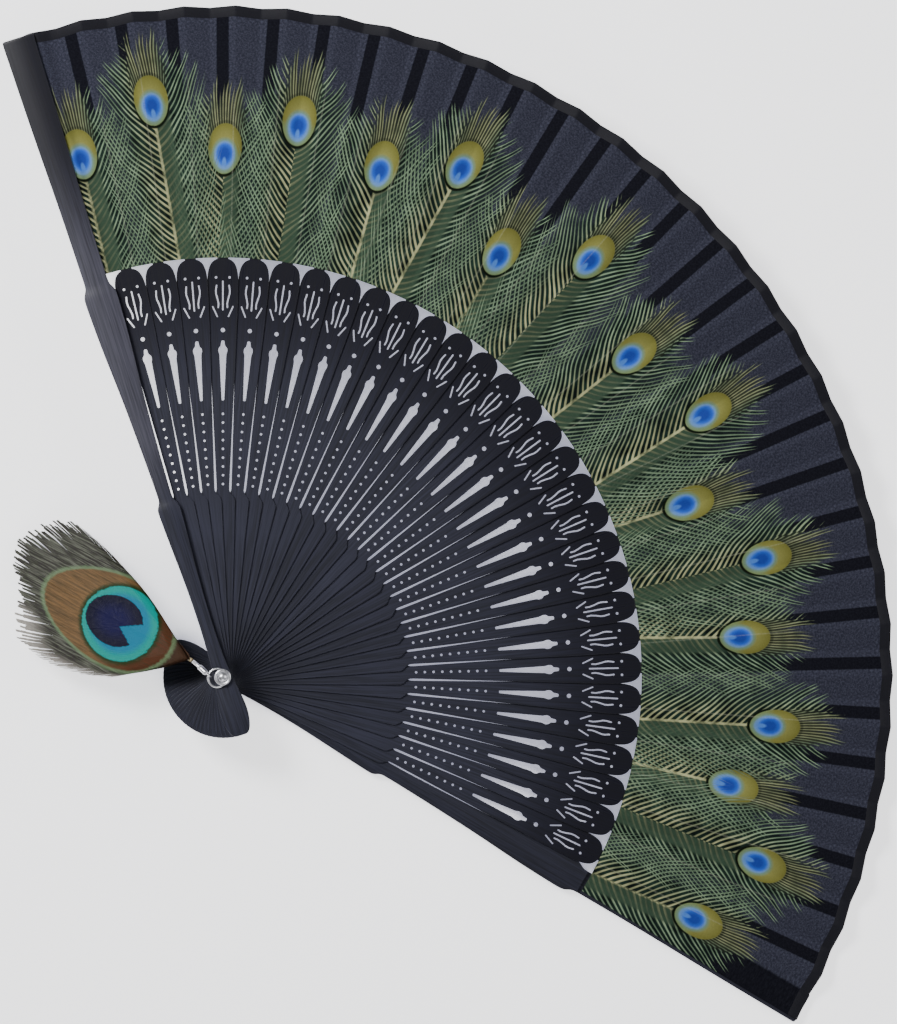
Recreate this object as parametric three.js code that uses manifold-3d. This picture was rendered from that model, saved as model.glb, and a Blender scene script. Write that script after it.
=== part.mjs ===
// Folding hand fan, spread open and lying face up, with a feather charm on its rivet.
// Millimetres, +Z up. The rivet's axis is Z, its foot stands on z = 0, and +Y runs up the middle of the fan.
import * as THREE from 'three';
import { mergeVertices } from 'three/addons/utils/BufferGeometryUtils.js';
import Module from 'manifold-3d';

const wasm = await Module();
wasm.setup();

// Driving dimensions, angles in degrees
const fanRadius = 192.5;
const tailRadius = 17.5;
const leafInnerRadius = 120.4;
const openSpread = 137.7;
const ribCount = 30;

const ribThickness = 0.45;
const ribGap = 0.15;
const guardThickness = 2.2;
const guardRecess = 1.0;
const slipThickness = 0.2;
const slipWidth = 3.2;
const slipRootLap = 2.9;
const slipEndGap = 0.4;
const pleatSlope = 0.25;
const slopeRun = 9.6;

const leafThickness = 0.15;
const leafSeatGap = 0.05;
const bindingThickness = 0.45;
const bindingWidth = 3.1;
const bindingSlotGap = 0.05;
const bindingSlotDepth = 2.4;

const shankRadius = 0.7;
const pivotPlay = 0.2;
const footRadius = 1.9;
const footHeight = 0.6;
const headRadius = 1.35;
const headHeight = 0.9;
const washerRadius = 2.4;
const washerThickness = 0.3;
const rimRadius = 0.3;
const washerPlay = 0.05;
const jumpWireRadius = 0.3;
const jumpRingCatch = 0.05;
const jumpRingPlay = 0.1;
const jumpRingOffset = 1.55;
const jumpRingHeading = 239;

const eyeRadius = 0.78;
const eyeWireRadius = 0.2;
const eyeHeading = 213;
const crimpHeading = 190;
const crimpRadius = 0.8;
const crimpLength = 3.2;
const crimpNeckRadius = 0.5;
const crimpNeckLength = 2.6;
const charmPitch = 17.8;
const featherGap = 0.3;
const featherHeading = 203;
const quillRadius = 0.55;
const quillTipRadius = 0.25;
const quillLength = 40;
const vaneThickness = 0.5;
const vaneSeatGap = 0.1;

const shankSides = 16;
const holeSides = 6;
const ringSides = 20;
const wireSides = 6;
const tubeSides = 10;
const domeRings = 4;

const degree = Math.PI / 180;
const pitchAngle = openSpread / (ribCount + 1);
const halfPanel = pitchAngle / 4;
const stackPitch = ribThickness + ribGap;
const fullSlopeRadius = leafInnerRadius + slopeRun;
const bindingInnerRadius = fanRadius - bindingWidth;
const pivotHoleRadius = shankRadius + pivotPlay;
const jumpRingRadius = washerRadius - jumpRingCatch + jumpWireRadius;

// Heights, from the foot up: foot, rear washer, rear guard, ribs, front guard, ring, front washer, head
const rearWasherBase = footHeight + washerPlay;
const rearGuardBase = rearWasherBase + washerThickness + washerPlay;
const rearGuardTop = rearGuardBase + guardThickness;
const lastRibMiddle = rearGuardTop + ribGap + ribThickness / 2;
const ribMiddle = (k) => lastRibMiddle + (ribCount - k) * stackPitch;
const frontGuardBase = ribMiddle(1) + ribThickness / 2 + ribGap;
const frontGuardTop = frontGuardBase + guardThickness;
const jumpRingHeight = frontGuardTop + jumpRingPlay + jumpWireRadius;
const frontWasherBase = jumpRingHeight + jumpWireRadius + jumpRingPlay;
const headBase = frontWasherBase + washerThickness + washerPlay;

// The direction of piece k, counted from +Y: 0 is the front guard, ribCount + 1 the rear guard
const turnOf = (k) => (openSpread / 2 - k * pitchAngle) * degree;

const material = (color, roughness, metalness) =>
  new THREE.MeshStandardMaterial({ color, roughness, metalness });
const woodColour = 0x2d2b37;
const clothColour = 0x262a3c;
const bindingColour = 0x14141c;
const silverColour = 0xd9dbe0;
const quillColour = 0xcbb98e;
const vaneColour = 0x6c5a3a;

const fan = new THREE.Group();
fan.name = 'dance_fan';

const addPiece = (parent, name, geometry, look) => {
  const mesh = new THREE.Mesh(geometry, look);
  mesh.name = name;
  parent.add(mesh);
  return mesh;
};

const solidOf = (geometry) => {
  const bare = geometry.clone();
  bare.deleteAttribute('normal');
  bare.deleteAttribute('uv');
  const merged = mergeVertices(bare);
  return new wasm.Manifold(new wasm.Mesh({
    numProp: 3,
    vertProperties: new Float32Array(merged.attributes.position.array),
    triVerts: new Uint32Array(merged.index.array),
  }));
};

const geometryOf = (solid) => {
  const mesh = solid.getMesh();
  const geometry = new THREE.BufferGeometry();
  geometry.setAttribute('position', new THREE.BufferAttribute(mesh.vertProperties, 3));
  geometry.setIndex(new THREE.BufferAttribute(mesh.triVerts, 1));
  return geometry;
};

const meshFrom = (points, faces) => {
  const geometry = new THREE.BufferGeometry();
  geometry.setAttribute('position', new THREE.Float32BufferAttribute(points.flat(), 3));
  geometry.setIndex(faces.flat());
  return geometry;
};

// A flat plate whose outline is symmetric about +Y, given as [radius, half width] from tail to tip
const plateShape = (stations) => {
  const right = stations.map(([r, half]) => new THREE.Vector2(half, r));
  const left = stations.slice().reverse()
    .filter(([, half]) => half > 0)
    .map(([r, half]) => new THREE.Vector2(-half, r));
  return new THREE.Shape([...right, ...left]);
};

const extrude = (shape, depth, base) => {
  const geometry = new THREE.ExtrudeGeometry(shape, { depth, bevelEnabled: false });
  geometry.translate(0, 0, base);
  return geometry;
};

const ringPoints = (x, y, radius, sides, turn = 0) =>
  Array.from({ length: sides }, (_, i) => {
    const a = turn + (2 * Math.PI * i) / sides;
    return new THREE.Vector2(x + radius * Math.cos(a), y + radius * Math.sin(a));
  });

// Places along the ribs and guards are shares of the radius where the leaf starts
const alongRib = (stations) => stations.map(([share, half]) => [share * leafInnerRadius, half]);

// Inner ribs: the half width at each radius, with a rounded shoulder above the handle and a domed head
const tailHalf = 3.7;
const pivotHalf = 2.15;
const shoulderHalf = 3.5;
const neckHalf = 1.68;
const headHalf = 4.55;
const tailStations = [
  [-tailRadius, 0],
  [-tailRadius * 0.96, tailHalf * 0.64],
  [-tailRadius * 0.82, tailHalf],
];
const ribStations = [
  ...tailStations,
  ...alongRib([
    [0, pivotHalf],
    [0.417, shoulderHalf],
    [0.4336, shoulderHalf * 0.78],
    [0.4502, neckHalf],
    [0.9593, headHalf],
    [0.9817, headHalf * 0.86],
    [0.9958, headHalf * 0.42],
  ]),
];

// Piercings, from the head down to the handle, as [share along the rib, distance from its middle]
const headDots = alongRib([[0.9543, 1.9]]);
const headDotSize = 0.34;
const slitHalf = 0.26;
const middleSlit = alongRib([[0.8754, 0], [0.9444, 0]]);
const bentSlit = alongRib([[0.8804, 1.3], [0.9169, 2.3], [0.9344, 1.9]]);
const lowSlit = alongRib([[0.8588, 1.5], [0.8854, 3.0]]);
const roundHoles = alongRib([[0.8272, 0]]);
const roundHoleSize = 0.5;
const bladeHole = alongRib([
  [0.6611, 0.72],
  [0.7799, 1.25],
  [0.7832, 1.75],
  [0.7874, 0.72],
  [0.8007, 0.4],
]);
const columnStartShare = 0.4601;
const columnStepShare = 0.02093;
const columnCount = 9;
const columnDotSize = 0.33;
const dotSides = 4;
const roundHoleSides = 5;

const slit = (points, half) => {
  const side = (sign) => points.map(([y, x], i) => {
    const before = points[Math.max(i - 1, 0)];
    const after = points[Math.min(i + 1, points.length - 1)];
    const along = new THREE.Vector2(after[1] - before[1], after[0] - before[0]).normalize();
    return new THREE.Vector2(x - sign * half * along.y, y + sign * half * along.x);
  });
  return [...side(1), ...side(-1).reverse()];
};

const mirrored = (points) => points.map((p) => new THREE.Vector2(-p.x, p.y)).reverse();
const dots = (places, size, sides) => places.map(([r, x]) => ringPoints(x, r, size, sides));

const ribShape = plateShape(ribStations);
const cuts = [
  ringPoints(0, 0, pivotHoleRadius, holeSides),
  ...dots(headDots, headDotSize, dotSides),
  ...dots(headDots.map(([r, x]) => [r, -x]), headDotSize, dotSides),
  slit(middleSlit, slitHalf),
  slit(bentSlit, slitHalf),
  mirrored(slit(bentSlit, slitHalf)),
  slit(lowSlit, slitHalf),
  mirrored(slit(lowSlit, slitHalf)),
  ...dots(roundHoles, roundHoleSize, roundHoleSides),
  plateShape(bladeHole).getPoints(),
];
for (let i = 0; i < columnCount; i += 1) {
  const column = alongRib([[columnStartShare + i * columnStepShare, 0]]);
  cuts.push(...dots(column, columnDotSize, dotSides));
}
ribShape.holes = cuts.map((points) => new THREE.Path(points));

// The slip: the thin strip that runs on from a rib's head behind the leaf. It starts flat in the head
// and turns to the slope of its pleat.
const slopeAt = (r) => {
  const share = (r - leafInnerRadius) / (fullSlopeRadius - leafInnerRadius);
  return pleatSlope * Math.min(Math.max(share, 0), 1);
};
const slipStations = [
  leafInnerRadius - slipRootLap,
  leafInnerRadius,
  fullSlopeRadius,
  bindingInnerRadius - slipEndGap,
];
const slipPoints = slipStations.flatMap((r) => [-1, 1].flatMap((side) => {
  const x = (side * slipWidth) / 2;
  return [-1, 1].map((face) => [x, r, slopeAt(r) * x + (face * slipThickness) / 2]);
}));
const slipFaces = [[0, 3, 1], [0, 2, 3]];
for (let i = 0; i + 1 < slipStations.length; i += 1) {
  const [a, b] = [4 * i, 4 * i + 4];
  // Four long sides: left, right, underside and top. Both faces share the diagonal that sags.
  slipFaces.push([a, b + 1, b], [a, a + 1, b + 1]);
  slipFaces.push([a + 2, b + 3, a + 3], [a + 2, b + 2, b + 3]);
  slipFaces.push([a, b, a + 2], [a + 2, b, b + 2]);
  slipFaces.push([a + 1, a + 3, b + 1], [a + 3, b + 3, b + 1]);
}
const slipLast = 4 * (slipStations.length - 1);
slipFaces.push([slipLast, slipLast + 3, slipLast + 2], [slipLast, slipLast + 1, slipLast + 3]);

const ribBody = solidOf(extrude(ribShape, ribThickness, -ribThickness / 2));
const ribGeometry = geometryOf(ribBody.add(solidOf(meshFrom(slipPoints, slipFaces))));
const wood = () => material(woodColour, 0.45, 0);

for (let k = 1; k <= ribCount; k += 1) {
  const holder = new THREE.Group();
  holder.rotation.z = turnOf(k);
  holder.position.z = ribMiddle(k);
  fan.add(holder);
  addPiece(holder, `rib_${String(k).padStart(2, '0')}`, ribGeometry.clone(), wood());
}

// Guards: a plain plate whose blade is thinned on the side where the leaf is glued
const guardPivotHalf = 2.2;
const guardShoulderHalf = 3.6;
const guardNeckHalf = 2.0;
const guardHeadHalf = 4.65;
const bladeStartHalf = 3.5;
const bladeEndHalf = 3.85;
const bladeCorner = 0.6;
const recessLead = 1.2;
const recessStartRadius = leafInnerRadius - recessLead;
const guardStations = [
  ...tailStations,
  ...alongRib([
    [0, guardPivotHalf],
    [0.3571, guardShoulderHalf * 0.93],
    [0.4111, guardShoulderHalf],
    [0.4236, guardShoulderHalf * 0.93],
    [0.436, guardShoulderHalf * 0.72],
    [0.4527, guardNeckHalf],
    [0.9344, guardHeadHalf],
    [0.951, guardHeadHalf * 0.97],
    [0.9701, guardHeadHalf * 0.86],
    [0.9917, bladeStartHalf],
  ]),
  [fanRadius - bladeCorner, bladeEndHalf],
  [fanRadius, bladeEndHalf - bladeCorner],
];
const guardShape = plateShape(guardStations);
guardShape.holes = [new THREE.Path(ringPoints(0, 0, pivotHoleRadius, holeSides))];
const recessMargin = 5;
const recess = new THREE.BoxGeometry(
  2 * (bladeEndHalf + recessMargin), fanRadius - recessStartRadius + recessMargin, 2 * guardRecess);
recess.translate(0, (fanRadius + recessStartRadius + recessMargin) / 2, 0);
const guardPlate = solidOf(extrude(guardShape, guardThickness, 0));

const addGuard = (name, k, base, recessLevel) => {
  const cutter = recess.clone();
  cutter.translate(0, 0, recessLevel);
  const holder = new THREE.Group();
  holder.rotation.z = turnOf(k);
  holder.position.z = base;
  fan.add(holder);
  addPiece(holder, name, geometryOf(guardPlate.subtract(solidOf(cutter))), wood());
};
addGuard('front_guard', 0, frontGuardBase, 0);
addGuard('rear_guard', ribCount + 1, rearGuardBase, guardThickness);

// The pleated leaf. Panel A of each pleat lies on a slip and slopes with it, and panel B falls back to
// the next pleat. The first and last panels lie flat under the front blade and on the rear blade.
const leafLift = slipThickness / 2 + leafSeatGap + leafThickness / 2;
const bladeSeat = bindingThickness / 2 + leafSeatGap;
const firstPanelHeight = frontGuardBase + guardRecess - bladeSeat;
const lastPanelHeight = rearGuardTop - guardRecess + bladeSeat;
const foldLines = [];
for (let k = 0; k <= ribCount + 1; k += 1) {
  const flat = k === 0 || k > ribCount;
  const level = k === 0 ? firstPanelHeight : lastPanelHeight;
  for (const side of [-1, 0, 1]) {
    foldLines.push({
      fold: side !== 0,
      turn: turnOf(k) - side * halfPanel * degree,
      height: (r) => (flat ? level
        : ribMiddle(k) + leafLift + slopeAt(r) * r * Math.tan(side * halfPanel * degree)),
    });
  }
}

// A strip that follows the lines, with a closed outline of [radius, height above the leaf's middle]
const foldedStrip = (outline, lines) => {
  const n = outline.length;
  const points = lines.flatMap(({ turn, height }) =>
    outline.map(([r, lift]) => [-r * Math.sin(turn), r * Math.cos(turn), height(r) + lift]));
  const faces = [];
  for (let i = 0; i + 1 < lines.length; i += 1) {
    // Each quad is split along its upper diagonal, so that the leaf stays above its slip
    for (let j = 0; j < n; j += 1) {
      const [a, b] = [i * n + j, i * n + ((j + 1) % n)];
      const [c, d] = [a + n, b + n];
      if (points[a][2] + points[d][2] > points[b][2] + points[c][2]) {
        faces.push([a, d, c], [a, b, d]);
      } else {
        faces.push([a, b, c], [c, b, d]);
      }
    }
  }
  const caps = THREE.ShapeUtils.triangulateShape(
    outline.map(([r, lift]) => new THREE.Vector2(r, lift)), []);
  const last = (lines.length - 1) * n;
  for (const [a, b, c] of caps) {
    faces.push([c, b, a], [last + a, last + b, last + c]);
  }
  return meshFrom(points, faces);
};

const leafOuterRadius = bindingInnerRadius + bindingSlotDepth - bindingSlotGap;
const leafHalf = leafThickness / 2;
addPiece(fan, 'leaf', foldedStrip([
  [leafInnerRadius, -leafHalf],
  [fullSlopeRadius, -leafHalf],
  [leafOuterRadius, -leafHalf],
  [leafOuterRadius, leafHalf],
  [fullSlopeRadius, leafHalf],
  [leafInnerRadius, leafHalf],
], foldLines), material(clothColour, 0.8, 0));

// The tape that is folded over the leaf's outer edge
const tapeHalf = bindingThickness / 2;
const slotHalf = leafHalf + bindingSlotGap;
const slotEndRadius = bindingInnerRadius + bindingSlotDepth;
addPiece(fan, 'leaf_binding', foldedStrip([
  [bindingInnerRadius, -tapeHalf],
  [fanRadius, -tapeHalf],
  [fanRadius, tapeHalf],
  [bindingInnerRadius, tapeHalf],
  [bindingInnerRadius, slotHalf],
  [slotEndRadius, slotHalf],
  [slotEndRadius, -slotHalf],
  [bindingInnerRadius, -slotHalf],
], foldLines.filter((line) => line.fold)), material(bindingColour, 0.7, 0));

const silver = () => material(silverColour, 0.25, 1);
const lathe = (profile, sides) => {
  const geometry = new THREE.LatheGeometry(
    profile.map(([r, z]) => new THREE.Vector2(r, z)), sides);
  geometry.rotateX(Math.PI / 2);
  return geometry;
};

// The rivet: a flat foot, a plain shank and a domed head
const dome = Array.from({ length: domeRings }, (_, i) => {
  const a = (i / domeRings) * (Math.PI / 2);
  return [headRadius * Math.cos(a), headBase + headHeight * Math.sin(a)];
});
addPiece(fan, 'rivet_pin', lathe([
  [0, 0],
  [footRadius, 0],
  [footRadius, footHeight],
  [shankRadius, footHeight],
  [shankRadius, headBase],
  ...dome,
  [0, headBase + headHeight],
], shankSides), silver());

addPiece(fan, 'rear_washer', lathe([
  [pivotHoleRadius, rearWasherBase],
  [washerRadius, rearWasherBase],
  [washerRadius, rearWasherBase + washerThickness],
  [pivotHoleRadius, rearWasherBase + washerThickness],
  [pivotHoleRadius, rearWasherBase],
], shankSides), silver());
addPiece(fan, 'front_washer', lathe([
  [pivotHoleRadius, frontWasherBase],
  [washerRadius - rimRadius, frontWasherBase],
  [washerRadius, frontWasherBase + washerThickness / 2],
  [washerRadius - rimRadius / 2, frontWasherBase + washerThickness + rimRadius],
  [washerRadius - rimRadius * 2, frontWasherBase + washerThickness],
  [pivotHoleRadius, frontWasherBase + washerThickness],
  [pivotHoleRadius, frontWasherBase],
], ringSides), silver());

// The charm: a jump ring round the rivet, a crimp with an eye on the ring, and a feather in the crimp
const wireRing = (radius, wire, sides) => {
  const profile = ringPoints(radius, 0, wire, wireSides, Math.PI / wireSides);
  const geometry = new THREE.LatheGeometry([...profile, profile[0]], sides);
  geometry.rotateX(Math.PI / 2);
  return geometry;
};
const polar = (radius, heading) =>
  new THREE.Vector3(radius * Math.cos(heading * degree), radius * Math.sin(heading * degree), 0);
const ringCentre = polar(jumpRingOffset, jumpRingHeading).setZ(jumpRingHeight);
const jumpRing = addPiece(fan, 'jump_ring', wireRing(jumpRingRadius, jumpWireRadius, ringSides), silver());
jumpRing.position.copy(ringCentre);

// Each charm piece is made along +X and then pitched down and turned to its heading
const charmGroup = (place, heading) => {
  const holder = new THREE.Group();
  holder.rotation.order = 'ZYX';
  holder.rotation.set(0, charmPitch * degree, heading * degree);
  holder.position.copy(place);
  fan.add(holder);
  return holder;
};

const crimpOverlap = 0.2;
const crimpTubeStart = eyeRadius - crimpOverlap;
const crimpEnd = crimpTubeStart + crimpLength + crimpNeckLength;
const crimpTube = new THREE.LatheGeometry([
  [0, crimpTubeStart],
  [crimpRadius * 0.75, crimpTubeStart],
  [crimpRadius, crimpTubeStart + crimpRadius / 2],
  [crimpRadius, crimpTubeStart + crimpLength],
  [crimpNeckRadius, crimpTubeStart + crimpLength],
  [crimpNeckRadius, crimpEnd],
  [0, crimpEnd],
].map(([r, x]) => new THREE.Vector2(r, x)), tubeSides);
crimpTube.rotateZ(-Math.PI / 2);
const crimpEye = wireRing(eyeRadius, eyeWireRadius, wireSides * 2);
crimpEye.rotateX(Math.PI / 2);
const eyePlace = polar(jumpRingRadius, eyeHeading).add(ringCentre);
const crimpHolder = charmGroup(eyePlace, crimpHeading);
addPiece(crimpHolder, 'feather_crimp',
  geometryOf(solidOf(crimpTube).add(solidOf(crimpEye))), silver());

const featherReach = crimpEnd + featherGap;
const featherBase = polar(featherReach * Math.cos(charmPitch * degree), crimpHeading).add(eyePlace);
featherBase.z -= featherReach * Math.sin(charmPitch * degree);
const featherHolder = charmGroup(featherBase, featherHeading);
const quill = new THREE.CylinderGeometry(quillTipRadius, quillRadius, quillLength, tubeSides);
quill.rotateZ(-Math.PI / 2);
quill.translate(quillLength / 2, 0, 0);
addPiece(featherHolder, 'feather_quill', quill, material(quillColour, 0.6, 0));

// The vane's outline seen from above, as shares of its length and of its width
const vaneLength = 62;
const vaneWidth = 36;
const vaneOutlineShares = [
  [0.02, 0.02], [0.11, 0.13], [0.18, 0.225], [0.32, 0.385], [0.45, 0.46], [0.59, 0.51],
  [0.74, 0.53], [0.785, 0.49], [0.76, 0.43], [0.82, 0.42], [0.79, 0.34], [0.87, 0.31],
  [0.84, 0.22], [0.88, 0.17], [0.87, 0.12], [0.96, 0.07], [0.93, 0], [1.005, -0.02],
  [0.96, -0.09], [1.02, -0.18], [0.95, -0.22], [0.99, -0.31], [0.9, -0.33], [0.93, -0.42],
  [0.83, -0.44], [0.84, -0.53], [0.74, -0.5], [0.63, -0.46], [0.46, -0.37], [0.27, -0.205],
  [0.1, -0.085], [0.02, -0.03],
];
const vaneShape = new THREE.Shape(vaneOutlineShares
  .map(([along, across]) => new THREE.Vector2(along * vaneLength, across * vaneWidth)).reverse());
addPiece(featherHolder, 'feather_vane',
  extrude(vaneShape, vaneThickness, quillRadius + vaneSeatGap), material(vaneColour, 0.55, 0));

export default fan;
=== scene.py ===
"""Folding hand fan with a feather charm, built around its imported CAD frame. Row frame, metres, +Z up."""

import functools
import math
import random

import bmesh
import bpy
import numpy as np
from mathutils import Matrix, Vector


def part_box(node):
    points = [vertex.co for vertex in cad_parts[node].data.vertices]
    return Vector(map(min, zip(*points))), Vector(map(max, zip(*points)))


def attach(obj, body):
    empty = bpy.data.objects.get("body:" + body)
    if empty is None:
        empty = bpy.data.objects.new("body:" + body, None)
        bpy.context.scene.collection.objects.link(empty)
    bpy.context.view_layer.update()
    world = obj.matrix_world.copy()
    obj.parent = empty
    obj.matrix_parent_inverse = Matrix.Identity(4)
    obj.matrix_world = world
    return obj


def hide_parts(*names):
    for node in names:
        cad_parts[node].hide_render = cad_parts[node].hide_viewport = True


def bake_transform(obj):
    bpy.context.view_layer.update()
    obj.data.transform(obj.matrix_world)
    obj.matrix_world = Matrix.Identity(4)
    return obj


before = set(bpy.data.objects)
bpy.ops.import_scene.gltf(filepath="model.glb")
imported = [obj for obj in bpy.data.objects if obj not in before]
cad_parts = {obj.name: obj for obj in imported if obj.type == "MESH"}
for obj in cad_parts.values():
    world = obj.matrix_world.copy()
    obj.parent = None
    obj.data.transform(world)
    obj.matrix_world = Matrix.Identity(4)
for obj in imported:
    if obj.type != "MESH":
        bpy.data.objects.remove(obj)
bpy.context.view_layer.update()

bl_info = {
    "name": "Dance fan",
    "version": (1, 0, 0),
    "blender": (4, 5, 0),
    "location": "View3D > Sidebar > Fan",
    "description": "Builds a folding hand fan with pierced ribs, a printed leaf and a feather charm",
    "category": "Object",
}

MM = 0.001
RIBS = 30
# How far the camera is turned about Z, in degrees
VIEW_TURN = 51.05
# The leaf ends this many millimetres inside the rim, in the fold of its tape
RIM_GAP = 0.75
LEAF_ROWS = 36
# Each printed feather's eye: the angle seen in the view, the radius in mm and the feather's lean in degrees
FEATHERS = [
    (105.3, 155.3, 2), (97.1, 166.5, -3), (89.8, 151.5, 3), (82.2, 161.0, 1), (72.8, 153.5, -2),
    (64.8, 162.4, 4), (56.8, 145.8, -3), (48.6, 160.7, 2), (38.2, 150.1, 0), (28.6, 158.7, -4),
    (20.4, 142.9, 3), (12.3, 159.9, -1), (4.3, 150.4, 4), (-5.2, 159.3, -2), (-12.2, 150.1, 1),
    (-19.3, 164.2, 3), (-27.3, 153.8, -3),
]


def linear(hex_colour):
    """An sRGB hex colour as the linear numbers that a shader takes."""
    parts = [int(hex_colour[i:i + 2], 16) / 255 for i in (1, 3, 5)]
    return [c / 12.92 if c <= 0.04045 else ((c + 0.055) / 1.055) ** 2.4 for c in parts]


def length(name, description, millimetres):
    return bpy.props.FloatProperty(
        name=name, description=description, default=millimetres * MM, min=0, unit="LENGTH", precision=5)


def angle(name, description, degrees):
    return bpy.props.FloatProperty(
        name=name, description=description, default=math.radians(degrees), subtype="ANGLE", unit="ROTATION")


def colour(name, description, hex_colour):
    return bpy.props.FloatVectorProperty(
        name=name, description=description, default=linear(hex_colour), size=3, min=0, max=1,
        subtype="COLOR")


class FanSizes(bpy.types.PropertyGroup):
    """Sizes of the fan."""
    spread: angle("Spread", "Angle from the front guard to the rear guard", 137.7)
    rim_radius: length("Rim radius", "From the rivet to the leaf's outer edge", 192.5)
    tail_radius: length("Tail radius", "From the rivet to the rounded tails", 17.5)
    leaf_radius: length("Leaf radius", "From the rivet to the leaf's inner edge", 120.4)
    rib_thickness: length("Rib thickness", "Thickness of an inner rib", 0.45)
    guard_thickness: length("Guard thickness", "Thickness of a guard", 2.2)
    guard_recess: length("Guard recess", "Depth cut from a guard's blade under the leaf", 1.0)
    hole_radius: length("Pivot hole", "Radius of the hole for the rivet", 0.9)
    slip_width: length("Slip width", "Width of the strip behind the leaf", 3.2)
    slip_thickness: length("Slip thickness", "Thickness of that strip", 0.2)
    pleat_slope: bpy.props.FloatProperty(
        name="Pleat slope", description="Rise of a panel across its width", default=0.25, min=0, max=1)
    slope_run: length("Slope run", "Length over which a pleat reaches its full slope", 9.6)
    cloth_thickness: length("Cloth thickness", "Thickness of the leaf", 0.15)
    cloth_gap: length("Cloth gap", "Glue line between a slip and the leaf", 0.05)
    rim_wave: length("Rim wave", "How far the rim stands out at a mountain fold", 0.3)
    tape_width: length("Tape width", "Width of the tape on the rim", 3.1)
    tape_thickness: length("Tape thickness", "Thickness of the folded tape over all", 0.28)
    barb_spacing: length("Printed barb spacing", "Distance between barbs in the print", 2.0)
    barb_count: bpy.props.IntProperty(
        name="Charm barbs", description="Barbs on each side of the charm's feather", default=130, min=20)


class FanColours(bpy.types.PropertyGroup):
    """Colours of the fan."""
    wood: colour("Stained wood", "Ribs and guards", "#313240")
    wood_dark: colour("Wood grain", "Dark lines of the grain", "#1E1F29")
    cloth: colour("Cloth", "Ground colour of the leaf", "#2C2D39")
    cloth_speck: colour("Cloth thread", "Lighter threads of the weave", "#4A4C5B")
    # Painted shade for the cloth over a slip
    slip_shade: colour("Cloth over a slip", "Cloth backed by dark wood", "#07070D")
    tape: colour("Tape", "The binding on the rim", "#0C0C12")
    silver: colour("Plated brass", "Rivet, washers, jump ring and crimp", "#E6E6EA")
    barb_green: colour("Printed barb, green", "Strokes away from the eye", "#889F80")
    barb_pale: colour("Printed barb, pale", "Strokes beside the eye", "#C0C08E")
    under_green: colour("Printed shade", "Ground between the strokes", "#243830")
    eye_gold: colour("Eye, outer", "Outer zone of a printed eye", "#6F6E34")
    eye_ring: colour("Eye, ring", "Light blue zone of a printed eye", "#4E80D2")
    eye_heart: colour("Eye, heart", "Deep blue centre of a printed eye", "#26409C")
    quill: colour("Quill", "Shaft of the feather", "#B9A87C")
    bronze: colour("Feather bronze", "Warm zone of the feather", "#80623F")
    teal: colour("Feather teal", "Ring of the feather's eye", "#039A90")
    cyan: colour("Feather blue", "Bright inner zone of the feather", "#047C9E")
    navy: colour("Feather navy", "Heart of the feather's eye", "#0B0A28")
    tip: colour("Feather tip", "Loose outer barbs", "#302A2C")
    floor: colour("Floor", "Ground under the fan", "#F4F4F6")


def sizes():
    return bpy.context.scene.fan_sizes


def colours():
    return bpy.context.scene.fan_colours


# Materials

# The setting that the word after the dot gives
MODES = {
    "Math": "operation", "VectorMath": "operation", "Mix": "data_type", "MapRange": "interpolation_type"}
MIX = "Mix.RGBA"
SMOOTH = "MapRange.SMOOTHSTEP"
TIMES = "Math.MULTIPLY"
TIMES_PLUS = "Math.MULTIPLY_ADD"


def add(tree, kind, *links, **settings):
    """Adds a shader node, such as "Math.ADD" or "TexNoise", with its settings. Its inputs, in order or by
    name, each take a node, a socket or a value."""
    kind, _, mode = kind.partition(".")
    node = tree.nodes.new("ShaderNode" + kind)
    if mode:
        settings[MODES[kind]] = mode
    for key, value in settings.items():
        setattr(node, key, value)
    by_name = links and isinstance(links[0], dict)
    pairs = links[0].items() if by_name else zip([i for i in node.inputs if i.enabled], links)
    for socket, value in pairs:
        socket = node.inputs[socket] if by_name else socket
        if isinstance(value, bpy.types.Node):
            value = next(o for o in value.outputs if o.enabled)
        if isinstance(value, bpy.types.NodeSocket):
            tree.links.new(value, socket)
        elif value is not None:
            socket.default_value = [*value, 1] if socket.type == "RGBA" and len(value) == 3 else value
    return node


def material(name, build):
    """A material whose shader is the node that build makes. Build gets the function that adds a node."""
    found = bpy.data.materials.get(name)
    if found:
        return found
    made = bpy.data.materials.new(name)
    made.use_nodes = True
    made.node_tree.nodes.clear()
    put = functools.partial(add, made.node_tree)
    put("OutputMaterial", build(put))
    return made


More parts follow.
